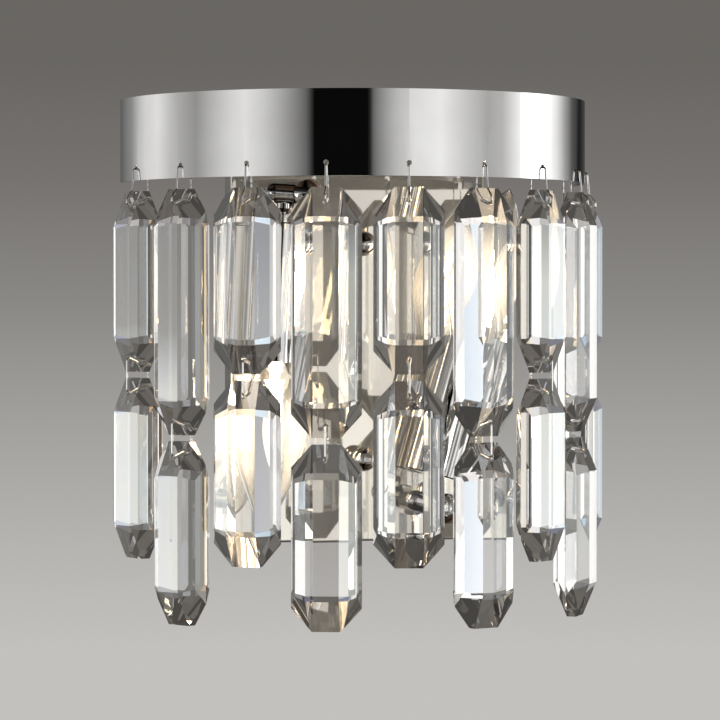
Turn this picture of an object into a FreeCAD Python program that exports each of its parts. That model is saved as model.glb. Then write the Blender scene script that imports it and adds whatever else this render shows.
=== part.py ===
"""Crystal wall sconce: a half-round chrome collar carries nine strings of cut crystals in front of a
shallow back plate with two candle lamps.

Millimetres, +Z up. The wall is the plane y = 0 and the front of the sconce faces -Y. The origin is on
the wall, midway between the two cap nuts that hold the back plate.
"""

import FreeCAD, Part
import math
import os

V = FreeCAD.Vector
X, Y, Z = V(1, 0, 0), V(0, 1, 0), V(0, 0, 1)

# --- driving dimensions -------------------------------------------------------------------------
# collar
collar_radius = 115.0
collar_sheet = 1.2
collar_height = 40.0
collar_bottom = 82.0  # height of its lower edge above the origin
hook_hole_rise = 6.0  # hook holes above the lower edge
hook_hole_radius = 1.2

# strings
string_count = 9
string_step = 19.1  # degrees between strings
string_turns = [12, 0, 8, 0, -12, 0, 0, 0, 0]  # degrees that each string hangs turned in its hole
wire_radius = 0.45
wire_bend = 1.3  # radius of the wire's centre line in a corner
wire_end_gap = 0.6  # between the two ends of a bent loop
hook_reach = 2.1  # from the middle of the collar's sheet to a hook's outer leg, at the hole
hook_foot = 3.0  # height of a hook's outer leg beside the crystal's hole, below where it has widened
hook_seat = 0.45  # the wire's centre below the centre of the collar's hole
leg_clearance = 0.35  # between a crystal's faces and the legs of a loop
pin_clearance = 0.04  # between wire and crystal hole, where the crystal hangs

# crystals, seen from the front: X across, Y through, Z along
crystal_half_width = 16.4
crystal_half_depth = 9.0
face_half_width = 6.6  # of the flat front and back faces
shoulder_half_width = 14.0
shoulder_half_depth = 4.6
end_half_depth = 2.2  # of the small flat end
face_bevel = 15.9  # length of the sloping end facet in the front face
ridge_bevel = 10.73  # length of the sloping end facet at the side ridge
short_crystal = 86.0
long_crystal = 115.0
crystal_hole_radius = 1.15
crystal_hole_inset = 7.3  # from the crystal's end
crystal_gap = 3.0  # between the crystals of one string
crystal_drop = 5.2  # first crystal below the collar

# back plate
plate_width = 127.0
plate_height = 186.0
plate_depth = 16.0
plate_sheet = 1.0
plate_edge_radius = 1.2
plate_hole_play = 0.2

# wall bracket and its studs
bracket_width = 16.0
bracket_end_margin = 7.7  # beyond the studs
bracket_sheet = 1.5
stud_spacing = 104.6
stud_radius = 2.0
stud_collar_radius = 3.2
stud_collar_length = 1.5
stud_tip_play = 1.0  # between the stud's tip and the end of the cap nut's thread
stud_tip_bevel = 0.5
wall_slot_spacing = 80.0
wall_slot_length = 12.0
wall_slot_radius = 2.5
cable_hole_radius = 6.0
cable_hole_drop = 20.0  # its centre below the origin

# ball-shaped cap nuts
ball_radius = 6.0
ball_neck_radius = 4.0
ball_stand_off = 10.5  # ball centre in front of the back plate
ball_thread_depth = 12.0

# crossbar that holds the collar
crossbar_height = 22.0
crossbar_sheet = 1.5
crossbar_tab_depth = 15.0  # of the tabs welded inside the collar
lug_width = 15.0
lug_depth = 12.5
lug_spacing = 80.0
screw_radius = 1.5
screw_length = 6.0
screw_head_radius = 2.9
screw_head_height = 1.8

# lamp arms
arm_offset_x = 34.0
arm_offset_z = 75.0
arm_radius = 5.0
arm_bore_radius = 2.4
arm_flange_radius = 7.5
arm_flange_thickness = 1.5
lamp_depth = 49.5  # centre of the knuckle from the wall
stub_radius = 3.5
stub_window_radius = 1.6
arm_nut_flats = 14.0
arm_nut_thickness = 3.0
arm_thread_show = 0.2  # of the arm behind its nut

# knuckle: a boss that turns on the arm's stub, with a cross barrel
boss_radius = 7.2
boss_length = 10.6
dome_height = 4.6
dome_sphere_radius = 9.72
dome_thread_play = 0.3  # between the stub's end and the dome's thread
barrel_radius = 4.8
barrel_length = 20.0
barrel_bore_radius = 2.6
running_clearance = 0.05
left_tilt = 3.0  # degrees from vertical, at rest
right_tilt = 16.0

# lock nut and nipple, on the barrel
nipple_inset = 10.6  # from the centre of the boss
nipple_radius = 2.1
nipple_bore_radius = 1.2
nipple_sink = 1.8  # how far it screws into the barrel
lock_nut_radius = 5.0
lock_nut_height = 5.2
lock_nut_rim = 2.34  # height of its straight part
lock_nut_shoulder_radius = 4.0
lock_nut_shoulder = 4.16  # height at which it has that radius
lock_nut_top_rim = 0.4  # width of its flat top
nipple_show = 4.0  # between lock nut and sleeve
nipple_grip = 7.0  # inside the lampholder

# sleeve and lampholder
sleeve_radius = 13.5
sleeve_length = 66.0
sleeve_sheet = 0.7
holder_play = 0.3  # between sleeve and lampholder
holder_length = 53.5
socket_depth = 17.0
socket_radius = 7.2
holder_floor = 3.0
holder_cavity_radius = 9.0
holder_wire_hole = 1.0

# candle bulb, screwed into the lampholder
bulb_clearance = 0.5  # between its parts and the lampholder
base_thread_radius = 6.8
thread_turns = 5
thread_height = 0.7
base_collar_radius = 8.4
base_collar_length = 3.0
contact_radius = 2.4
contact_length = 2.5
glass_radius = 17.5
glass_length = 85.0
glass_wall = 0.8
glass_neck_flare = 0.9
glass_outline = [  # (share of the widest radius, share of the length) above the neck
    (0.9, 0.32),
    (1.0, 0.46),
    (0.83, 0.66),
    (0.4, 0.88),
    (0.14, 0.975),
    (0.0, 1.0),
]
glass_neck_share = 0.13  # share of the length where the neck has flared
filament_radius = 0.8
filament_circle = 3.4
filament_length = 34.0
filament_count = 4
stem_length = 18.0
disc_thickness = 1.0
disc_rim = 0.6  # of the discs beyond the filaments

# terminal block and internal leads
block_width = 16.0
block_height = 22.0
block_thickness = 9.5
block_rise = 9.0  # its lower face above the origin
pole_pitch = 5.2
pole_count = 3
lead_radius = 1.3
lead_depth = 6.0  # distance of the leads from the wall
lead_bend = 8.0
lead_bend_into_arm = 5.0
lead_play = 0.3
lead_grip = 3.0  # how far a lead enters the block
lead_rise = 10.0  # straight out of the block
lead_run = 16.0  # straight before the arm
block_wall = 0.4

# --- sizes worked out from these ----------------------------------------------------------------
collar_inner = collar_radius - collar_sheet
string_radius = collar_radius - collar_sheet / 2
hook_hole_z = collar_bottom + hook_hole_rise
hook_z = hook_hole_z - hook_seat
upper_top = collar_bottom - crystal_drop
wire_drop = crystal_hole_radius - wire_radius - pin_clearance
plate_front = -plate_depth
plate_top = plate_height / 2
bracket_height = stud_spacing + 2 * bracket_end_margin
arm_back = plate_front + plate_sheet + arm_nut_thickness + arm_thread_show
shoulder_y = -lamp_depth + boss_length / 2 + running_clearance
dome_y = -lamp_depth - boss_length / 2 - running_clearance
sleeve_base = barrel_radius + lock_nut_height + nipple_show
holder_base = sleeve_base + sleeve_sheet
holder_top = holder_base + holder_length
base_bottom = holder_top - socket_depth + bulb_clearance
glass_base = holder_top + bulb_clearance + base_collar_length


# --- helpers ------------------------------------------------------------------------------------
def cylinder(radius, start, direction, length):
    return Part.makeCylinder(radius, length, start, direction)


def box(x, y, z):
    """A box between two coordinates along each axis, given as (low, high) pairs."""
    return Part.makeBox(x[1] - x[0], y[1] - y[0], z[1] - z[0], V(x[0], y[0], z[0]))


def turned(profile):
    """The solid that a closed outline of (radius, height) points makes when turned about Z."""
    points = [V(r, 0, h) for r, h in profile]
    outline = Part.makePolygon(points + points[:1])
    return Part.Face(outline).revolve(V(0, 0, 0), Z, 360)


def along_minus_y(shape, x, z):
    """Lays a shape that was turned about Z along -Y, with its axis at x, z."""
    shape = shape.copy()
    shape.rotate(V(0, 0, 0), X, 90)
    shape.translate(V(x, 0, z))
    return shape


def rounded_path(points, radii):
    """Straight runs from point to point, joined by tangent arcs of the given radii."""
    edges = []
    start = points[0]
    for before, corner, after, radius in zip(points, points[1:], points[2:], radii):
        back = (before - corner).normalize()
        ahead = (after - corner).normalize()
        half = back.getAngle(ahead) / 2
        reach = radius / math.tan(half)
        middle = (back + ahead).normalize() * (radius / math.sin(half) - radius)
        arc_start = corner + back * reach
        arc_end = corner + ahead * reach
        edges.append(Part.makeLine(start, arc_start))
        edges.append(Part.Arc(arc_start, corner + middle, arc_end).toShape())
        start = arc_end
    edges.append(Part.makeLine(start, points[-1]))
    return Part.Wire(edges)


def tube_along(path, radius):
    """A round bar that follows a path."""
    start = path.OrderedVertexes[0].Point
    direction = path.OrderedEdges[0].tangentAt(path.OrderedEdges[0].FirstParameter)
    ring = Part.Wire(Part.makeCircle(radius, start, direction))
    return path.makePipeShell([ring], True, False)


def on_string(shape, index, turn=0):
    """Turns a shape made for the front of the collar on its own axis, and then to its own string."""
    shape = shape.copy()
    shape.rotate(V(0, -string_radius, 0), Z, turn)
    shape.rotate(V(0, 0, 0), Z, (index - (string_count + 1) / 2) * string_step)
    return shape


# --- crystals -----------------------------------------------------------------------------------
def crystal_bar(length):
    """The straight bar between the two pointed ends, hanging down from z = 0."""
    quarter = [(face_half_width, crystal_half_depth), (shoulder_half_width, shoulder_half_depth)]
    right = quarter + [(crystal_half_width, 0)] + [(x, -y) for x, y in reversed(quarter)]
    left = [(-x, -y) for x, y in right]
    points = [V(x, y, 0) for x, y in right + left]
    return Part.Face(Part.makePolygon(points + points[:1])).extrude(V(0, 0, -length))


def facet_cutter(corners):
    """A block that lies outside the plane through three corners of one facet."""
    a, b, c = corners
    normal = (b - a).cross(c - a).normalize()
    if normal.z < 0:
        normal = -normal
    size = 4 * crystal_half_width
    block = Part.makeBox(size, size, size, V(-size / 2, -size / 2, 0))
    block.Placement = FreeCAD.Placement(a, FreeCAD.Rotation(Z, normal))
    return block


def end_cutters():
    """The blocks that cut the eight sloping facets of an upper end at z = 0."""
    end_x, end_y = face_half_width, end_half_depth
    cutters = []
    for sy in (1, -1):
        face = V(end_x, sy * crystal_half_depth, -face_bevel)
        cutters.append(facet_cutter([V(end_x, sy * end_y, 0), V(-end_x, sy * end_y, 0), face]))
    for sx in (1, -1):
        ridge = V(sx * crystal_half_width, 0, -ridge_bevel)
        cutters.append(facet_cutter([V(sx * end_x, end_y, 0), V(sx * end_x, -end_y, 0), ridge]))
        for sy in (1, -1):
            end = V(sx * end_x, sy * end_y, 0)
            face = V(sx * end_x, sy * crystal_half_depth, -face_bevel)
            cutters.append(facet_cutter([end, face, ridge]))
    return cutters


def crystal(length, holes):
    """A cut crystal that hangs down from z = 0, with holes at the heights given."""
    cutters = end_cutters()
    lower = []
    for cutter in cutters:
        other = cutter.copy()
        other.rotate(V(0, 0, -length / 2), X, 180)
        lower.append(other)
    shape = crystal_bar(length).cut(cutters + lower)
    through = 4 * crystal_half_depth
    for z in holes:
        shape = shape.cut(cylinder(crystal_hole_radius, V(0, -through / 2, z), Y, through))
    return shape


def half_depth_at_hole():
    """Half the thickness of a crystal at the height of its hole."""
    slope = (crystal_half_depth - end_half_depth) / face_bevel
    return end_half_depth + slope * crystal_hole_inset


# --- hooks and links ----------------------------------------------------------------------------
def wire_loop(outer, high, low, inner_half):
    """A bent wire in the plane x = 0 at the front of the collar, its ends meeting in the inner leg.

    Outer holds the (distance out from the string's axis, height) of the corners of its outer leg.
    """
    y = -string_radius
    mid_z = (high + low) / 2
    half_gap = wire_end_gap / 2
    inner = y + inner_half
    points = [V(0, inner, mid_z + half_gap), V(0, inner, high)]
    points += [V(0, y - reach, z) for reach, z in outer]
    points += [V(0, inner, low), V(0, inner, mid_z - half_gap)]
    return tube_along(rounded_path(points, [wire_bend] * (len(points) - 2)), wire_radius)


def string_pieces(index):
    """The hook, upper crystal, link and lower crystal of one string, by node name."""
    upper_length = short_crystal if index % 2 else long_crystal
    upper_bottom = upper_top - upper_length
    lower_top = upper_bottom - crystal_gap
    leg_half = half_depth_at_hole() + leg_clearance + wire_radius
    hook_low = upper_top - crystal_hole_inset + wire_drop
    link_high = upper_bottom + crystal_hole_inset - wire_drop
    link_low = lower_top - crystal_hole_inset + wire_drop
    throat_half = end_half_depth + leg_clearance + wire_radius
    hook_outer = [
        (hook_reach, hook_z),
        (throat_half, upper_top),
        (leg_half, hook_low + hook_foot),
        (leg_half, hook_low),
    ]
    link_outer = [(leg_half, link_high), (leg_half, link_low)]
    upper = crystal(upper_length, [-crystal_hole_inset, crystal_hole_inset - upper_length])
    lower = crystal(short_crystal, [-crystal_hole_inset])
    upper.translate(V(0, -string_radius, upper_top))
    lower.translate(V(0, -string_radius, lower_top))
    pieces = {
        "hook": wire_loop(hook_outer, hook_z, hook_low, leg_half),
        "upper_crystal": upper,
        "link": wire_loop(link_outer, link_high, link_low, leg_half),
        "lower_crystal": lower,
    }
    turn = string_turns[index - 1]
    return {f"{name}_{index}": on_string(shape, index, turn) for name, shape in pieces.items()}


# --- collar -------------------------------------------------------------------------------------
def half_disc(radius, low, high):
    """The front half of a disc about Z."""
    disc = cylinder(radius, V(0, 0, low), Z, high - low)
    return disc.common(box((-radius, radius), (-radius, 0), (low, high)))


def half_ring(outer, inner, low, high):
    """The front half of a ring about Z."""
    return half_disc(outer, low, high).cut(cylinder(inner, V(0, 0, low), Z, high - low))


def make_collar():
    ring = half_ring(collar_radius, collar_inner, collar_bottom, collar_bottom + collar_height)
    start = V(0, -string_radius - 2 * collar_sheet, hook_hole_z)
    hole = cylinder(hook_hole_radius, start, Y, 4 * collar_sheet)
    for index in range(1, string_count + 1):
        ring = ring.cut(on_string(hole, index))
    return ring


def lug_places():
    return [-lug_spacing / 2, lug_spacing / 2]


def make_crossbar():
    """The bar along the wall between the collar's ends, with end tabs and two lugs on the plate."""
    low = plate_top
    high = low + crossbar_height
    bar = box((-collar_inner, collar_inner), (-crossbar_sheet, 0), (low, high))
    bar = bar.common(half_disc(collar_inner, low, high))
    tabs = half_ring(collar_inner, collar_inner - crossbar_sheet, low, high)
    tabs = tabs.common(box((-collar_radius, collar_radius), (-crossbar_tab_depth, 0), (low, high)))
    bar = bar.fuse(tabs)
    for x in lug_places():
        lug = box((x - lug_width / 2, x + lug_width / 2), (-lug_depth, 0), (low, low + crossbar_sheet))
        bar = bar.fuse(lug)
    for x in lug_places():
        bar = bar.cut(cylinder(screw_radius, V(x, lug_screw_y(), low), Z, crossbar_sheet))
    return bar.removeSplitter()


def lug_screw_y():
    return -(lug_depth + crossbar_sheet) / 2


def make_crossbar_screws():
    head_z = plate_top + crossbar_sheet
    screws = []
    for x in lug_places():
        rim = screw_head_height / 2
        outline = [
            (0, head_z - screw_length),
            (screw_radius, head_z - screw_length),
            (screw_radius, head_z),
            (screw_head_radius, head_z),
            (screw_head_radius, head_z + rim),
            (screw_head_radius / 2, head_z + screw_head_height),
            (0, head_z + screw_head_height),
        ]
        screw = turned(outline)
        screw.translate(V(x, lug_screw_y(), 0))
        screws.append(screw)
    return Part.makeCompound(screws)


# --- back plate, bracket and cap nuts -----------------------------------------------------------
def stud_places():
    return [-stud_spacing / 2, stud_spacing / 2]


def arm_places():
    return [(-arm_offset_x, arm_offset_z), (arm_offset_x, -arm_offset_z)]


def make_back_plate():
    half_w = plate_width / 2
    half_h = plate_height / 2
    shell = box((-half_w, half_w), (plate_front, 0), (-half_h, half_h))
    outer_edges = [e for e in shell.Edges if not lies_on_wall(e)]
    shell = shell.makeFillet(plate_edge_radius, outer_edges)
    t = plate_sheet
    room = box((t - half_w, half_w - t), (plate_front + t, 0), (t - half_h, half_h - t))
    plate = shell.cut(room)
    for z in stud_places():
        plate = plate.cut(cylinder(stud_radius + plate_hole_play, V(0, plate_front, z), Y, t))
    for x, z in arm_places():
        plate = plate.cut(cylinder(arm_radius, V(x, plate_front, z), Y, t))
    for x in lug_places():
        plate = plate.cut(cylinder(screw_radius, V(x, lug_screw_y(), half_h - t), Z, t))
    return plate


def lies_on_wall(edge):
    return edge.BoundBox.YMin > -0.01


def make_wall_bracket():
    half_w = bracket_width / 2
    half_h = bracket_height / 2
    bar = box((-half_w, half_w), (-bracket_sheet, 0), (-half_h, half_h))
    bar = bar.makeFillet(half_w / 2, [e for e in bar.Edges if abs(e.tangentAt(0).y) > 0.9])
    through = bracket_sheet
    for z in stud_places():
        bar = bar.cut(cylinder(stud_radius, V(0, -through, z), Y, through))
    reach = wall_slot_length / 2 - wall_slot_radius
    for z in (-wall_slot_spacing / 2, wall_slot_spacing / 2):
        for end in (z - reach, z + reach):
            bar = bar.cut(cylinder(wall_slot_radius, V(0, -through, end), Y, through))
        r = wall_slot_radius
        bar = bar.cut(box((-r, r), (-through, 0), (z - reach, z + reach)))
    return bar.cut(cylinder(cable_hole_radius, V(0, -through, -cable_hole_drop), Y, through))


def make_mounting_studs():
    tip = plate_depth + ball_thread_depth - stud_tip_play
    seat = bracket_sheet + stud_collar_length
    outline = [
        (0, 0),
        (stud_radius, 0),
        (stud_radius, bracket_sheet),
        (stud_collar_radius, bracket_sheet),
        (stud_collar_radius, seat),
        (stud_radius, seat),
        (stud_radius, tip - stud_tip_bevel),
        (stud_radius - stud_tip_bevel, tip),
        (0, tip),
    ]
    return Part.makeCompound([along_minus_y(turned(outline), 0, z) for z in stud_places()])


def make_cap_nuts():
    """Balls on short necks, threaded from behind."""
    neck = cylinder(ball_neck_radius, V(0, 0, plate_depth), Z, ball_stand_off)
    ball = Part.makeSphere(ball_radius, V(0, 0, plate_depth + ball_stand_off))
    nut = neck.fuse(ball)
    nut = nut.cut(cylinder(stud_radius, V(0, 0, plate_depth), Z, ball_thread_depth))
    return Part.makeCompound([along_minus_y(nut, 0, z) for z in stud_places()])


# --- lamp arms ----------------------------------------------------------------------------------
def make_lamp_arms():
    """A tube with a flange in front of the plate and a narrower stub that the knuckle turns on."""
    shoulder = -shoulder_y
    stub_end = -dome_y + dome_height / 2
    flange_front = plate_depth + arm_flange_thickness
    outline = [
        (arm_bore_radius, -arm_back),
        (arm_radius, -arm_back),
        (arm_radius, plate_depth),
        (arm_flange_radius, plate_depth),
        (arm_flange_radius, flange_front),
        (arm_radius, flange_front),
        (arm_radius, shoulder),
        (stub_radius, shoulder),
        (stub_radius, stub_end),
        (arm_bore_radius, stub_end),
    ]
    arm = turned(outline)
    arms = []
    for x, z in arm_places():
        window = cylinder(stub_window_radius, V(x, -lamp_depth, z), -X, 2 * stub_radius)
        arms.append(along_minus_y(arm, x, z).cut(window))
    return Part.makeCompound(arms)


def make_arm_nuts():
    """Hexagon nuts that clamp the arms from inside the back plate."""
    corner = arm_nut_flats / math.sqrt(3)
    inside = plate_depth - plate_sheet - arm_nut_thickness
    turns = [math.radians(60 * n) for n in range(7)]
    ring = [V(corner * math.cos(a), corner * math.sin(a), inside) for a in turns]
    nut = Part.Face(Part.makePolygon(ring)).extrude(V(0, 0, arm_nut_thickness))
    nut = nut.cut(cylinder(arm_radius, V(0, 0, inside), Z, arm_nut_thickness))
    return Part.makeCompound([along_minus_y(nut, x, z) for x, z in arm_places()])


def make_boss_nuts():
    """Domed nuts on the ends of the stubs."""
    back = -dome_y
    dome = Part.makeSphere(dome_sphere_radius, V(0, 0, back + dome_height - dome_sphere_radius))
    nut = dome.common(cylinder(boss_radius, V(0, 0, back), Z, dome_height))
    nut = nut.cut(cylinder(stub_radius, V(0, 0, back), Z, dome_height / 2 + dome_thread_play))
    return Part.makeCompound([along_minus_y(nut, x, z) for x, z in arm_places()])


# --- lamp units, made about the centre of the boss with +Z towards the bulb's tip ----------------
def make_knuckle(side):
    """Boss along Y and barrel along X, on the side given by +1 or -1."""
    half = boss_length / 2
    boss = cylinder(boss_radius, V(0, -half, 0), Y, boss_length)
    barrel = cylinder(barrel_radius, V(0, 0, 0), X * side, barrel_length - barrel_radius)
    end = Part.makeSphere(barrel_radius, V(side * (barrel_length - barrel_radius), 0, 0))
    body = boss.fuse(barrel).fuse(end)
    body = body.cut(cylinder(barrel_bore_radius, V(0, 0, 0), X * side, barrel_length - barrel_radius))
    body = body.cut(cylinder(stub_radius + running_clearance, V(0, -half, 0), Y, boss_length))
    hole_x = side * nipple_inset
    return body.cut(cylinder(nipple_radius, V(hole_x, 0, 0), Z, barrel_radius))


def make_nipple_and_nut(side):
    low = barrel_radius - nipple_sink
    nipple = cylinder(nipple_radius, V(0, 0, low), Z, holder_base + nipple_grip - low)
    nipple = nipple.cut(cylinder(nipple_bore_radius, V(0, 0, low), Z, holder_base + nipple_grip))
    nut_top = barrel_radius + lock_nut_height
    outline = [
        (nipple_radius, barrel_radius),
        (lock_nut_radius, barrel_radius),
        (lock_nut_radius, barrel_radius + lock_nut_rim),
        (lock_nut_shoulder_radius, barrel_radius + lock_nut_shoulder),
        (nipple_radius + lock_nut_top_rim, nut_top),
        (nipple_radius, nut_top),
    ]
    pair = Part.makeCompound([nipple, turned(outline)])
    pair.translate(V(side * nipple_inset, 0, 0))
    return pair


def make_sleeve(side):
    top = sleeve_base + sleeve_length
    inner = sleeve_radius - sleeve_sheet
    outline = [
        (nipple_radius, sleeve_base),
        (sleeve_radius - sleeve_sheet, sleeve_base),
        (sleeve_radius, sleeve_base + sleeve_sheet),
        (sleeve_radius, top),
        (inner, top),
        (inner, holder_base),
        (nipple_radius, holder_base),
    ]
    sleeve = turned(outline)
    sleeve.translate(V(side * nipple_inset, 0, 0))
    return sleeve


def make_lampholder(side):
    """A plug on the nipple, a hollow waist, and the threaded socket above its floor."""
    outer = sleeve_radius - sleeve_sheet - holder_play
    floor_top = holder_top - socket_depth
    floor_low = floor_top - holder_floor
    plug_top = holder_base + nipple_grip
    outline = [
        (nipple_radius, holder_base),
        (outer, holder_base),
        (outer, holder_top),
        (socket_radius, holder_top),
        (socket_radius, floor_top),
        (holder_wire_hole, floor_top),
        (holder_wire_hole, floor_low),
        (holder_cavity_radius, floor_low),
        (holder_cavity_radius, plug_top),
        (nipple_radius, plug_top),
    ]
    holder = turned(outline)
    holder.translate(V(side * nipple_inset, 0, 0))
    return holder


def glass_solid(inset):
    """The candle glass as a full solid, drawn in by the inset on every side but the neck's end."""
    neck = base_collar_radius - inset
    widest = glass_radius - inset
    length = glass_length - inset
    shape_points = [(neck, 0), (neck + glass_neck_flare, glass_neck_share * length)]
    shape_points += [(r * widest, h * length) for r, h in glass_outline]
    curve = Part.BSplineCurve()
    curve.interpolate([V(r, 0, h) for r, h in shape_points])
    side = curve.toShape()
    axis = Part.makeLine(V(0, 0, length), V(0, 0, 0))
    foot = Part.makeLine(V(0, 0, 0), V(neck, 0, 0))
    return Part.Face(Part.Wire([side, axis, foot])).revolve(V(0, 0, 0), Z, 360)


def make_bulb_glass(side):
    glass = glass_solid(0).cut(glass_solid(glass_wall))
    glass.translate(V(side * nipple_inset, 0, glass_base))
    return glass


def make_bulb_base(side):
    """The metal screw base, and the stem that carries the filaments inside the glass."""
    thread_low = base_bottom + contact_length
    collar_low = holder_top + bulb_clearance
    turn_height = (collar_low - thread_low) / thread_turns
    outline = [(0, base_bottom), (contact_radius, base_bottom), (contact_radius, thread_low)]
    for turn in range(thread_turns):
        low = thread_low + turn * turn_height
        outline.append((base_thread_radius - thread_height, low))
        outline.append((base_thread_radius, low + turn_height / 2))
    outline += [(base_thread_radius - thread_height, collar_low), (base_collar_radius, collar_low)]
    outline += [(base_collar_radius, glass_base), (0, glass_base)]
    pair = Part.makeCompound([turned(outline), make_filaments()])
    pair.translate(V(side * nipple_inset, 0, 0))
    return pair


def make_filaments():
    """A glass stem with filament rods in a circle between two small discs."""
    stem_top = glass_base + stem_length
    disc_radius = filament_circle + filament_radius + disc_rim
    shape = Part.makeCone(disc_radius, filament_circle / 2, stem_length, V(0, 0, glass_base), Z)
    for low in (stem_top - disc_thickness, stem_top + filament_length):
        shape = shape.fuse(cylinder(disc_radius, V(0, 0, low), Z, disc_thickness))
    for index in range(filament_count):
        turn = 2 * math.pi * index / filament_count
        foot = V(filament_circle * math.cos(turn), filament_circle * math.sin(turn), stem_top)
        shape = shape.fuse(cylinder(filament_radius, foot, Z, filament_length))
    return shape.removeSplitter()


def place_lamp(shape, side):
    """Puts a shape made about the boss on its arm: +1 is the left lamp, -1 the right lamp."""
    shape = shape.copy()
    angle = 180 + left_tilt if side > 0 else right_tilt
    shape.rotate(V(0, 0, 0), Y, angle)
    shape.translate(V(-side * arm_offset_x, -lamp_depth, side * arm_offset_z))
    return shape


# --- wiring behind the plate --------------------------------------------------------------------
def pole_places():
    return [(n - (pole_count - 1) / 2) * pole_pitch for n in range(pole_count)]


def make_terminal_block():
    """A block on the wall bracket with a wire hole and two screw wells for each pole."""
    front = -bracket_sheet - block_thickness
    top = block_rise + block_height
    half_w = block_width / 2
    block = box((-half_w, half_w), (front, -bracket_sheet), (block_rise, top))
    well_depth = front + lead_depth + lead_radius + lead_play
    for x in pole_places():
        hole = cylinder(lead_radius + lead_play, V(x, -lead_depth, block_rise), Z, block_height)
        block = block.cut(hole)
        for z in (block_rise + block_height / 4, top - block_height / 4):
            block = block.cut(cylinder(screw_radius, V(x, front, z), Y, -well_depth - block_wall))
    return block


def make_internal_leads():
    """One lead up to the left arm and one down to the right arm, each into the arm's bore."""
    leads = []
    block_top = block_rise + block_height
    for side, end_z, out in ((1, block_top, 1), (-1, block_rise, -1)):
        x = -side * arm_offset_x
        z = side * arm_offset_z
        pole_x = -side * pole_pitch
        points = [
            V(pole_x, -lead_depth, end_z - out * lead_grip),
            V(pole_x, -lead_depth, end_z + out * lead_rise),
            V(x, -lead_depth, z - out * lead_run),
            V(x, -lead_depth, z),
            V(x, -lamp_depth + stub_radius, z),
        ]
        path = rounded_path(points, [lead_bend, lead_bend, lead_bend_into_arm])
        print(f"lead {side}: length {path.Length:.1f}, bends {lead_bend}, {lead_bend_into_arm}")
        leads.append(tube_along(path, lead_radius))
    return Part.makeCompound(leads)


# --- the whole sconce ---------------------------------------------------------------------------
def all_nodes():
    nodes = {
        "wall_bracket": make_wall_bracket(),
        "mounting_studs": make_mounting_studs(),
        "cap_nuts": make_cap_nuts(),
        "back_plate": make_back_plate(),
        "collar": make_collar(),
        "collar_crossbar": make_crossbar(),
        "crossbar_screws": make_crossbar_screws(),
        "lamp_arms": make_lamp_arms(),
        "arm_nuts": make_arm_nuts(),
        "boss_nuts": make_boss_nuts(),
        "terminal_block": make_terminal_block(),
        "internal_leads": make_internal_leads(),
    }
    for index in range(1, string_count + 1):
        nodes.update(string_pieces(index))
    makers = {
        "knuckle": make_knuckle,
        "nipple_and_lock_nut": make_nipple_and_nut,
        "sleeve": make_sleeve,
        "lampholder": make_lampholder,
        "bulb_glass": make_bulb_glass,
        "bulb_base": make_bulb_base,
    }
    for name, make in makers.items():
        nodes[f"{name}_left"] = place_lamp(make(1), 1)
        nodes[f"{name}_right"] = place_lamp(make(-1), -1)
    return nodes


os.makedirs("parts", exist_ok=True)
for node, solid in all_nodes().items():
    solid.exportStep(f"parts/{node}.step")
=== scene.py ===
"""Looks of the crystal wall sconce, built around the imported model. Metres, +Z up, wall at y = 0."""

import math

import bmesh
import bpy
from mathutils import Matrix, Vector


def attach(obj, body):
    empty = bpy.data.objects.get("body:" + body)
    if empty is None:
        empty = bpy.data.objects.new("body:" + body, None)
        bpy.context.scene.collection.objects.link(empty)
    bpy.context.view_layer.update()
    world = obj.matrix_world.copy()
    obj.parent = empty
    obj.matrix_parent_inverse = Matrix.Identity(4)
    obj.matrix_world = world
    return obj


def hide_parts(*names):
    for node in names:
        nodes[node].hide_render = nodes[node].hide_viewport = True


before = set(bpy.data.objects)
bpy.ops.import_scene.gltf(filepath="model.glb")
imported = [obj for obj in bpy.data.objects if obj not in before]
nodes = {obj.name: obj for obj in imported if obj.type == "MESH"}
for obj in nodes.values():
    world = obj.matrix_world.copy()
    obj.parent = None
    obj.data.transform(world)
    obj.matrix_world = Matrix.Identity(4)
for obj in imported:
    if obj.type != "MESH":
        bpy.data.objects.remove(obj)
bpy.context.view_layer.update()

SIDES = ("left", "right")
NOISE_ROUGHNESS = 0.55
TONE_LOW, TONE_HIGH = 0.3, 0.7  # shares of the noise at which the two tones of a material are reached


# --- node tree helpers --------------------------------------------------------------------------
def grey(level):
    return (level, level, level)


def set_stops(ramp, stops):
    while len(ramp.elements) > 1:
        ramp.elements.remove(ramp.elements[-1])
    first, *others = stops
    ramp.elements[0].position = first[0]
    ramp.elements[0].color = (*first[1], 1)
    for position, colour in others:
        ramp.elements.new(position).color = (*colour, 1)


class Tree:
    """A node tree and short ways to add to it."""

    def __init__(self, tree):
        self.tree = tree

    def node(self, kind, **values):
        node = self.tree.nodes.new(kind)
        for key, value in values.items():
            setattr(node, key, value)
        return node

    def link(self, output, socket):
        self.tree.links.new(output, socket)

    def ramp(self, value, stops):
        """A colour ramp over (position, colour) stops."""
        ramp = self.node("ShaderNodeValToRGB")
        set_stops(ramp.color_ramp, stops)
        self.link(value, ramp.inputs["Fac"])
        return ramp.outputs["Color"]


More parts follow.
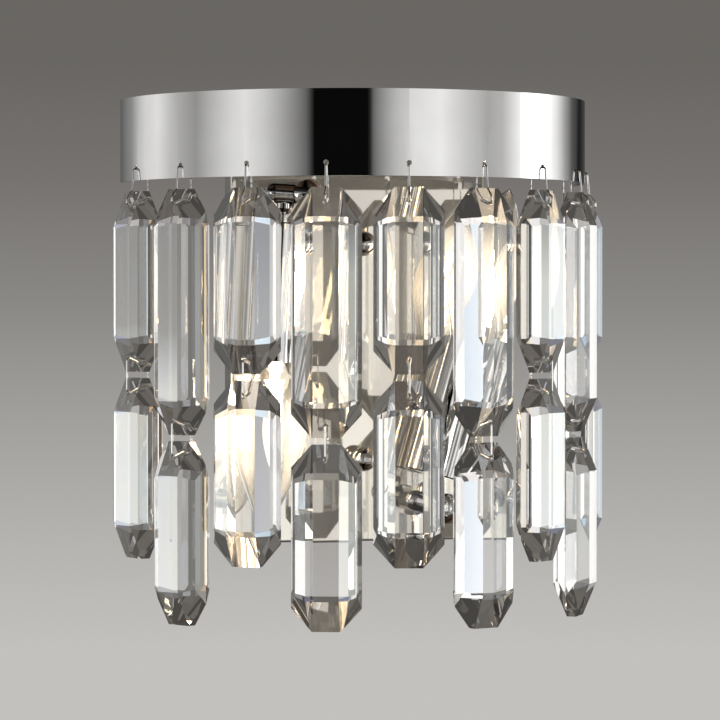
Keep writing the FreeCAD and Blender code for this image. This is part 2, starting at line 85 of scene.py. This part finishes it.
class Shader(Tree):
    """A new material's node tree with its Principled shader."""

    def __init__(self, name, **values):
        self.material = bpy.data.materials.new(name)
        self.material.use_nodes = True
        super().__init__(self.material.node_tree)
        self.surface = self.tree.nodes["Principled BSDF"]
        for key, value in values.items():
            self.surface.inputs[key.replace("_", " ")].default_value = value

    def noise(self, scale, detail=3.0):
        texture = self.node("ShaderNodeTexNoise")
        texture.inputs["Scale"].default_value = scale
        texture.inputs["Detail"].default_value = detail
        texture.inputs["Roughness"].default_value = NOISE_ROUGHNESS
        self.link(self.node("ShaderNodeTexCoord").outputs["Object"], texture.inputs["Vector"])
        return texture.outputs["Fac"]

    def range(self, value, low, high):
        """The value, from 0..1 to low..high."""
        mapped = self.node("ShaderNodeMapRange")
        mapped.inputs["To Min"].default_value = low
        mapped.inputs["To Max"].default_value = high
        self.link(value, mapped.inputs["Value"])
        return mapped.outputs["Result"]

    def middle(self, reach):
        """1 at the middle of the piece, falling to 0 at that share of its height above and below."""
        parts = self.node("ShaderNodeSeparateXYZ")
        away = self.node("ShaderNodeMath", operation="SUBTRACT")
        size = self.node("ShaderNodeMath", operation="ABSOLUTE")
        fall = self.node("ShaderNodeMapRange", interpolation_type="SMOOTHSTEP")
        away.inputs[1].default_value = 0.5
        fall.inputs["From Max"].default_value = reach
        fall.inputs["To Min"].default_value = 1
        fall.inputs["To Max"].default_value = 0
        self.link(self.node("ShaderNodeTexCoord").outputs["Generated"], parts.inputs[0])
        self.link(parts.outputs["Z"], away.inputs[0])
        self.link(away.outputs[0], size.inputs[0])
        self.link(size.outputs[0], fall.inputs["Value"])
        return fall.outputs["Result"]

    def colour(self, output):
        self.link(output, self.surface.inputs["Base Color"])

    def tones(self, scale, low, high, detail=3.0):
        """Base colour that drifts between two tones."""
        self.colour(self.ramp(self.noise(scale, detail), [(TONE_LOW, low), (TONE_HIGH, high)]))

    def roughness(self, output):
        self.link(output, self.surface.inputs["Roughness"])

    def bump(self, height, strength, distance):
        bump = self.node("ShaderNodeBump")
        bump.inputs["Strength"].default_value = strength
        bump.inputs["Distance"].default_value = distance
        self.link(height, bump.inputs["Height"])
        self.link(bump.outputs["Normal"], self.surface.inputs["Normal"])

    def glow(self, amount, colour, strength):
        """Emission of a colour, in step with an amount from 0 to 1."""
        self.link(self.ramp(amount, [(0.0, grey(0)), (1.0, colour)]), self.surface.inputs["Emission Color"])
        self.surface.inputs["Emission Strength"].default_value = strength


class World(Tree):
    """A new world's node tree."""

    def __init__(self, name):
        world = bpy.data.worlds.new(name)
        bpy.context.scene.world = world
        world.use_nodes = True
        super().__init__(world.node_tree)
        self.tree.nodes.clear()

    def math(self, operation, a, b=None):
        node = self.node("ShaderNodeMath", operation=operation)
        for socket, value in zip(node.inputs, (a, b)):
            if isinstance(value, (int, float)):
                socket.default_value = value
            elif value is not None:
                self.link(value, socket)
        return node.outputs[0]

    def share(self, value, low, high):
        """0 at low, 1 at high."""
        node = self.node("ShaderNodeMapRange")
        node.inputs["From Min"].default_value = low
        node.inputs["From Max"].default_value = high
        self.link(value, node.inputs["Value"])
        return node.outputs["Result"]

    def mix(self, factor, a, b, blend="MIX"):
        node = self.node("ShaderNodeMix", data_type="RGBA", blend_type=blend)
        for socket, value in ((node.inputs[0], factor), (node.inputs[6], a), (node.inputs[7], b)):
            if isinstance(value, (int, float)):
                socket.default_value = value
            elif isinstance(value, tuple):
                socket.default_value = (*value, 1)
            else:
                self.link(value, socket)
        return node.outputs[2]

    def scaled(self, colour, factor):
        node = self.node("ShaderNodeVectorMath", operation="SCALE")
        self.link(colour, node.inputs[0])
        node.inputs["Scale"].default_value = factor
        return node.outputs["Vector"]

    def ring(self, around, stops, top):
        """Colours by the angle around, as shares of the brightest level there is."""
        turn = [((angle + 180) / 360, [c / top for c in colour]) for angle, colour in stops]
        return self.ramp(around, turn)


# --- materials ----------------------------------------------------------------------------------
def polished_metal(name, low, high, rough_low, rough_high, bump=0.02, metallic=1.0):
    """Plated metal: a faint drift of tone, fine polishing marks in the roughness, hardly any waviness."""
    shader = Shader(name, Metallic=metallic)
    shader.tones(35, low, high)
    shader.roughness(shader.range(shader.noise(900, 4), rough_low, rough_high))
    shader.bump(shader.noise(18, 1), bump, 0.0004)
    return shader.material


def make_chrome():
    return polished_metal("chrome", (0.86, 0.85, 0.835), (0.93, 0.925, 0.915), 0.008, 0.025, 0.01)


def make_plate_with_painted_warm_light():
    # the warm cream of these tones is partly the plate's own plated tone and partly painted light: the warm
    # glow of the lit bulbs that the plate reflects
    tones = (0.94, 0.89, 0.79), (0.98, 0.935, 0.84)
    return polished_metal("satin_plate", *tones, 0.015, 0.045, 0.01, metallic=0.88)


def make_zinc():
    """Zinc-plated steel with its faint crystalline bloom."""
    shader = Shader("zinc_steel", Metallic=1.0)
    shader.tones(140, grey(0.5), (0.68, 0.69, 0.7), detail=6)
    shader.roughness(shader.range(shader.noise(300, 5), 0.25, 0.45))
    shader.bump(shader.noise(700, 3), 0.15, 0.0002)
    return shader.material


def make_white_plastic():
    shader = Shader("white_plastic", Specular_IOR_Level=0.45)
    shader.tones(60, (0.78, 0.76, 0.71), (0.84, 0.82, 0.78))
    shader.roughness(shader.range(shader.noise(500, 4), 0.34, 0.48))
    shader.bump(shader.noise(1500, 2), 0.1, 0.0001)
    return shader.material


def make_lead_sheath():
    shader = Shader("lead_sheath")
    shader.tones(120, (0.70, 0.69, 0.66), (0.78, 0.77, 0.74))
    shader.roughness(shader.range(shader.noise(700, 4), 0.42, 0.58))
    shader.bump(shader.noise(1200, 2), 0.15, 0.0001)
    return shader.material


def make_crystal():
    """Lead crystal, clear, with an iridescent coat on its polished facets and a faint painted warm glow."""
    shader = Shader("crystal", Transmission_Weight=1.0, IOR=1.56, Roughness=0.0)
    shader.surface.inputs["Thin Film IOR"].default_value = 1.85
    film = shader.range(shader.noise(45, 1), 58, 92)
    shader.link(film, shader.surface.inputs["Thin Film Thickness"])
    # painted glow: the clear glass gives off a faint warm light of its own, though it is no lamp
    shader.surface.inputs["Emission Color"].default_value = (1.0, 0.95, 0.88, 1.0)
    shader.surface.inputs["Emission Strength"].default_value = 0.010
    shader.tones(25, (0.985, 0.985, 0.975), grey(0.999))
    shader.bump(shader.noise(60, 1), 0.004, 0.0003)
    return shader.material


def make_wire():
    return polished_metal("wire", (0.72, 0.71, 0.69), (0.86, 0.85, 0.83), 0.08, 0.18)


def make_bulb_glass():
    """Clear candle glass in which the lit filaments glow."""
    shader = Shader("bulb_glass", Transmission_Weight=1.0, IOR=1.45, Roughness=0.0)
    shader.tones(30, (0.98, 0.95, 0.9), (0.985, 0.96, 0.92))
    shader.bump(shader.noise(40, 1), 0.02, 0.0003)
    shader.glow(shader.middle(0.40), (1.0, 0.86, 0.66), 0.22)
    return shader.material


def make_filament():
    """Glowing rods, a little uneven along their length."""
    shader = Shader("filament", Roughness=0.5)
    shader.tones(400, (0.9, 0.62, 0.25), (0.95, 0.75, 0.4))
    shader.glow(shader.range(shader.noise(300), 0.75, 1.0), (1.0, 0.86, 0.66), 14.0)
    return shader.material


def make_bulb_metal():
    shader = Shader("bulb_metal", Metallic=1.0)
    shader.tones(150, (0.70, 0.66, 0.58), (0.82, 0.79, 0.72), detail=5)
    shader.roughness(shader.range(shader.noise(600, 4), 0.2, 0.35))
    shader.bump(shader.noise(900, 2), 0.1, 0.0001)
    return shader.material


MATERIALS = {
    "chrome": make_chrome(),
    "satin_plate": make_plate_with_painted_warm_light(),
    "zinc_steel": make_zinc(),
    "white_plastic": make_white_plastic(),
    "lead_sheath": make_lead_sheath(),
    "crystal": make_crystal(),
    "wire": make_wire(),
    "bulb_glass": make_bulb_glass(),
    "bulb_metal": make_bulb_metal(),
    "filament": make_filament(),
}

SLOT_OF = {
    "wall_bracket": "zinc_steel",
    "mounting_studs": "zinc_steel",
    "cap_nuts": "chrome",
    "back_plate": "satin_plate",
    "collar": "chrome",
    "collar_crossbar": "zinc_steel",
    "crossbar_screws": "zinc_steel",
    "lamp_arms": "chrome",
    "arm_nuts": "zinc_steel",
    "boss_nuts": "chrome",
    "terminal_block": "white_plastic",
    "internal_leads": "lead_sheath",
    "hook": "wire",
    "upper_crystal": "crystal",
    "link": "wire",
    "lower_crystal": "crystal",
    "knuckle": "chrome",
    "nipple_and_lock_nut": "chrome",
    "sleeve": "chrome",
    "lampholder": "white_plastic",
    "bulb_glass": "bulb_glass",
    "bulb_base": "bulb_metal",
}


def kind_of(name):
    """A node's name without its side or string number."""
    head, _, tail = name.rpartition("_")
    return head if tail in SIDES or tail.isdigit() else name


def dress(name, node):
    material = MATERIALS[SLOT_OF[kind_of(name)]]
    for slot in node.material_slots:
        slot.material = material
    if not node.material_slots:
        node.data.materials.append(material)


for name, node in nodes.items():
    dress(name, node)


# --- crystals: polished edges -------------------------------------------------------------------
EDGE_WIDTH = 0.00016
EDGE_LEAST_ANGLE = 12  # degrees between the facets


def soften_edges(node):
    """Rounds the edges between facets by a hair, so that they catch the light."""
    bevel = node.modifiers.new("edges", "BEVEL")
    bevel.width = EDGE_WIDTH
    bevel.segments = 2
    bevel.limit_method = "ANGLE"
    bevel.angle_limit = math.radians(EDGE_LEAST_ANGLE)


for name, node in nodes.items():
    if "crystal" in name:
        soften_edges(node)


# --- bulbs: screw bases and glowing filaments ---------------------------------------------------
BASE_WIDTH = 0.012  # a loose part that is deeper than this belongs to the screw base
WELD_DISTANCE = 1e-6
SHARP_ANGLE = 30  # degrees


def loose_parts(shape):
    """The vertices of each loose part of a mesh, in order."""
    seen = set()
    parts = []
    for first in shape.verts:
        if first.index in seen:
            continue
        seen.add(first.index)
        part = [first]
        for vertex in part:
            for edge in vertex.link_edges:
                other = edge.other_vert(vertex)
                if other.index not in seen:
                    seen.add(other.index)
                    part.append(other)
        parts.append(part)
    return parts


def depth_of(part):
    depths = [vertex.co.y for vertex in part]
    return max(depths) - min(depths)


def bulb_piece(side, name, material, wanted):
    """The loose parts of a bulb's base that are wanted, as a piece of their own."""
    node = nodes[f"bulb_base_{side}"]
    shape = bmesh.new()
    shape.from_mesh(node.data)
    bmesh.ops.remove_doubles(shape, verts=shape.verts, dist=WELD_DISTANCE)
    shape.verts.index_update()
    for part in loose_parts(shape):
        if not wanted(depth_of(part)):
            bmesh.ops.delete(shape, geom=part, context="VERTS")
    mesh = bpy.data.meshes.new(f"{name}_{side}")
    shape.to_mesh(mesh)
    shape.free()
    mesh.shade_smooth()
    mesh.set_sharp_from_angle(angle=math.radians(SHARP_ANGLE))
    mesh.materials.clear()
    mesh.materials.append(MATERIALS[material])
    piece = bpy.data.objects.new(f"{name}_{side}", mesh)
    bpy.context.scene.collection.objects.link(piece)
    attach(piece, f"bulb_{side}")
    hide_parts(f"bulb_base_{side}")


for side in SIDES:
    bulb_piece(side, "screw_base", "bulb_metal", lambda depth: depth > BASE_WIDTH)
    bulb_piece(side, "filaments", "filament", lambda depth: depth <= BASE_WIDTH)


# --- stage --------------------------------------------------------------------------------------
FLOOR_Z = -0.45
FLOOR_HALF = 2.0
FLOOR_FADE = (0.7, 1.9)  # distances from the middle between which it fades into the backdrop


def make_floor():
    mesh = bpy.data.meshes.new("floor")
    corners = [(-1, -1), (1, -1), (1, 1), (-1, 1)]
    places = [(x * FLOOR_HALF, y * FLOOR_HALF, FLOOR_Z) for x, y in corners]
    mesh.from_pydata(places, [], [(0, 1, 2, 3)])
    floor = bpy.data.objects.new("floor", mesh)
    bpy.context.scene.collection.objects.link(floor)
    shader = Shader("floor", Roughness=0.9, Specular_IOR_Level=0.1)
    shader.tones(3, (0.60, 0.595, 0.58), (0.63, 0.625, 0.61))
    coordinates = shader.node("ShaderNodeTexCoord")
    distance = shader.node("ShaderNodeVectorMath", operation="LENGTH")
    fade = shader.node("ShaderNodeMapRange", interpolation_type="SMOOTHSTEP")
    for key, reach in zip(("From Min", "From Max"), FLOOR_FADE):
        fade.inputs[key].default_value = reach
    clear = shader.node("ShaderNodeBsdfTransparent")
    mix = shader.node("ShaderNodeMixShader")
    shader.link(coordinates.outputs["Object"], distance.inputs[0])
    shader.link(distance.outputs["Value"], fade.inputs["Value"])
    shader.link(fade.outputs["Result"], mix.inputs["Fac"])
    shader.link(shader.surface.outputs["BSDF"], mix.inputs[1])
    shader.link(clear.outputs["BSDF"], mix.inputs[2])
    shader.link(mix.outputs["Shader"], shader.tree.nodes["Material Output"].inputs["Surface"])
    mesh.materials.append(shader.material)
    floor.visible_glossy = False
    floor.visible_transmission = False


make_floor()

# the backdrop from its lighter foot to its darker top, over the height of the view direction
BACKDROP_LOW, BACKDROP_HIGH = -0.108, 0.074
BACKDROP = [
    (0.0, (0.546, 0.533, 0.517)),
    (0.186, (0.462, 0.451, 0.434)),
    (0.389, (0.361, 0.351, 0.336)),
    (0.593, (0.254, 0.246, 0.232)),
    (0.797, (0.181, 0.171, 0.163)),
    (1.0, (0.141, 0.134, 0.124)),
]
# the soft boxes and dark gaps that the chrome reflects, by the angle from the front (-Y) towards +X,
# in degrees
STUDIO = [
    (-180, 0.04),
    (-166, 0.13),
    (-149, 0.27),
    (-134, 0.70),
    (-122, 0.80),
    (-108, 0.48),
    (-94, 0.32),
    (-74, 0.70),
    (-66, 0.82),
    (-56, 0.64),
    (-44, 0.34),
    (-35, 0.14),
    (-31.5, 0.003),
    (-4.5, 0.003),
    (-2.5, 0.16),
    (7, 0.48),
    (18, 0.80),
    (30, 0.92),
    (44, 0.62),
    (56, 0.42),
    (65, 0.52),
    (76, 1.0),
    (81, 2.4),
    (95, 2.4),
    (101, 1.1),
    (106, 0.88),
    (115, 0.38),
    (124, 0.10),
    (137, 0.012),
    (152, 0.06),
    (166, 0.11),
    (180, 0.04),
]
STUDIO_TOP = 3.0  # no level here or in the next list is above this
# how much brighter the large boxes are below the height that the collar reflects
LOW_BOXES = [
    (-180, 0.0),
    (-150, 0.0),
    (-136, 2.2),
    (-106, 2.2),
    (-96, 0.2),
    (-82, 0.2),
    (-74, 2.0),
    (-56, 2.0),
    (-48, 0.0),
    (-2, 0.0),
    (6, 0.3),
    (22, 0.3),
    (29, 1.8),
    (45, 1.8),
    (54, 0.2),
    (70, 0.1),
    (80, 1.6),
    (103, 1.6),
    (114, 0.0),
    (180, 0.0),
]
LOW_EDGE = (-0.006, 0.013)  # height of the view direction over which they fade, at the front
LOW_TILT = 0.0235  # how much higher they reach on the right, and lower on the left
LOW_END = (-0.20, -0.12)  # height of the view direction over which they fade out again
# what glass gathers from round about, with the colours that it spreads at the edges of a bright box
SEEN = [
    (-180, grey(0.24)),
    (-173, (0.20, 0.24, 0.55)),
    (-171, (0.45, 0.70, 0.90)),
    (-168, grey(1.5)),
    (-127, grey(1.5)),
    (-124, (1.30, 1.05, 0.45)),
    (-122, (0.80, 0.44, 0.24)),
    (-119, (0.12, 0.11, 0.10)),
    (-90, grey(0.16)),
    (-78, grey(0.70)),
    (-48, grey(0.60)),
    (-34, (0.09, 0.085, 0.08)),
    (-6, (0.09, 0.085, 0.08)),
    (6, grey(0.85)),
    (44, grey(1.0)),
    (50, grey(0.20)),
    (57, grey(0.20)),
    (63, grey(0.95)),
    (90, grey(1.1)),
    (95, (0.90, 0.80, 0.62)),
    (98, (1.10, 0.85, 0.50)),
    (102, grey(1.5)),
    (139, grey(1.5)),
    (142, (0.45, 0.70, 0.90)),
    (144, (0.20, 0.24, 0.55)),
    (150, grey(0.30)),
    (180, grey(0.24)),
]
SEEN_TOP = 1.5  # no level is above this
# the middle of the view, and how far round from it glass still shows the backdrop, as cosines
AHEAD = (0.2343, 0.9722, 0.0)
BACKDROP_EDGE = (0.90, 0.94)
# how the boxes fade above and below
HEIGHT = [
    (0.0, grey(1)),
    (0.13, grey(1)),
    (0.21, grey(0.5)),
    (0.38, grey(0.42)),
    (0.55, (0.10, 0.07, 0.05)),
    (1.0, (0.03, 0.018, 0.012)),
]
# the calm warm darkness that glass gathers from above and below, and the heights over which it sets in
CALM = (0.13, 0.123, 0.112)
CALM_FROM, CALM_FULL = 0.22, 0.36
AMBIENT = 0.75  # what lights the surfaces that don't mirror


def greys(stops):
    return [(angle, grey(level)) for angle, level in stops]


def mirrored(world, around, x, z, upward):
    """What chrome reflects: a ring of boxes that stop above and below."""
    boxes = world.ring(around, greys(STUDIO), STUDIO_TOP)
    low = world.ring(around, greys(LOW_BOXES), STUDIO_TOP)
    edge = world.math("SUBTRACT", z, world.math("MULTIPLY", x, LOW_TILT))
    above = world.ramp(world.share(edge, *LOW_EDGE), [(0.0, grey(1)), (1.0, grey(0))])
    below = world.ramp(world.share(z, *LOW_END), [(0.0, grey(0)), (1.0, grey(1))])
    low = world.mix(1.0, low, above, "MULTIPLY")
    low = world.mix(1.0, low, below, "MULTIPLY")
    boxes = world.mix(1.0, boxes, low, "ADD")
    return world.scaled(world.mix(1.0, boxes, world.ramp(upward, HEIGHT), "MULTIPLY"), STUDIO_TOP)


def gathered(world, direction, around, upward, backdrop):
    """What glass shows: the backdrop ahead, bright sides, and calm darkness above and below."""
    sides = world.scaled(world.ring(around, SEEN, SEEN_TOP), SEEN_TOP)
    facing = world.node("ShaderNodeVectorMath", operation="DOT_PRODUCT")
    facing.inputs[1].default_value = AHEAD
    world.link(direction, facing.inputs[0])
    ahead = world.mix(world.share(facing.outputs["Value"], *BACKDROP_EDGE), sides, backdrop)
    calm_stops = [(0.0, grey(0)), (CALM_FROM, grey(0)), (CALM_FULL, grey(1)), (1.0, grey(1))]
    return world.mix(world.ramp(upward, calm_stops), ahead, CALM)


def make_world():
    world = World("studio")
    direction = world.node("ShaderNodeTexCoord").outputs["Generated"]
    parts = world.node("ShaderNodeSeparateXYZ")
    world.link(direction, parts.inputs[0])
    x, y, z = parts.outputs
    turn = world.math("ARCTAN2", x, world.math("MULTIPLY", y, -1.0))
    around = world.share(turn, -math.pi, math.pi)
    upward = world.math("ABSOLUTE", z)
    backdrop = world.ramp(world.share(z, BACKDROP_LOW, BACKDROP_HIGH), BACKDROP)

    path = world.node("ShaderNodeLightPath").outputs
    lit = world.mix(path["Is Camera Ray"], grey(AMBIENT), backdrop)
    lit = world.mix(path["Is Glossy Ray"], lit, mirrored(world, around, x, z, upward))
    seen = gathered(world, direction, around, upward, backdrop)
    lit = world.mix(path["Is Transmission Ray"], lit, seen)
    background = world.node("ShaderNodeBackground")
    output = world.node("ShaderNodeOutputWorld")
    world.link(lit, background.inputs["Color"])
    world.link(background.outputs[0], output.inputs["Surface"])


make_world()


LAMP_AIM = Vector((0, -0.05, 0))


def area_light(name, place, size, power):
    light = bpy.data.lights.new(name, "AREA")
    light.shape = "RECTANGLE"
    light.size = size
    light.size_y = size
    light.energy = power
    lamp = bpy.data.objects.new(name, light)
    lamp.location = place
    lamp.rotation_euler = (LAMP_AIM - Vector(place)).to_track_quat("-Z", "Y").to_euler()
    lamp.visible_glossy = False
    lamp.visible_transmission = False
    lamp.visible_camera = False
    bpy.context.scene.collection.objects.link(lamp)


area_light("key", (-0.9, -1.4, 0.9), size=1.0, power=8)
area_light("fill", (1.1, -1.2, 0.4), size=1.0, power=4)
area_light("top", (0.0, -0.2, 1.4), size=1.2, power=5)


# --- camera -------------------------------------------------------------------------------------
CAMERA_PLACE = Vector((-0.36778, -1.54380, 0.025))
CAMERA_AHEAD = Vector((0.23437, 0.97197, -0.01866))
CAMERA_SENSOR = 36.0
CAMERA_LENS = 160.75
CAMERA_REACH = 50


def make_camera():
    data = bpy.data.cameras.new("camera")
    data.sensor_width = CAMERA_SENSOR
    data.lens = CAMERA_LENS
    data.clip_end = CAMERA_REACH
    camera = bpy.data.objects.new("camera", data)
    ahead = CAMERA_AHEAD.normalized()
    side = ahead.cross(Vector((0, 0, 1))).normalized()
    up = side.cross(ahead)
    turn = Matrix((side, up, -ahead)).transposed().to_4x4()
    camera.matrix_world = Matrix.Translation(CAMERA_PLACE) @ turn
    bpy.context.scene.collection.objects.link(camera)
    bpy.context.scene.camera = camera


make_camera()

bpy.context.scene.view_settings.view_transform = "Standard"
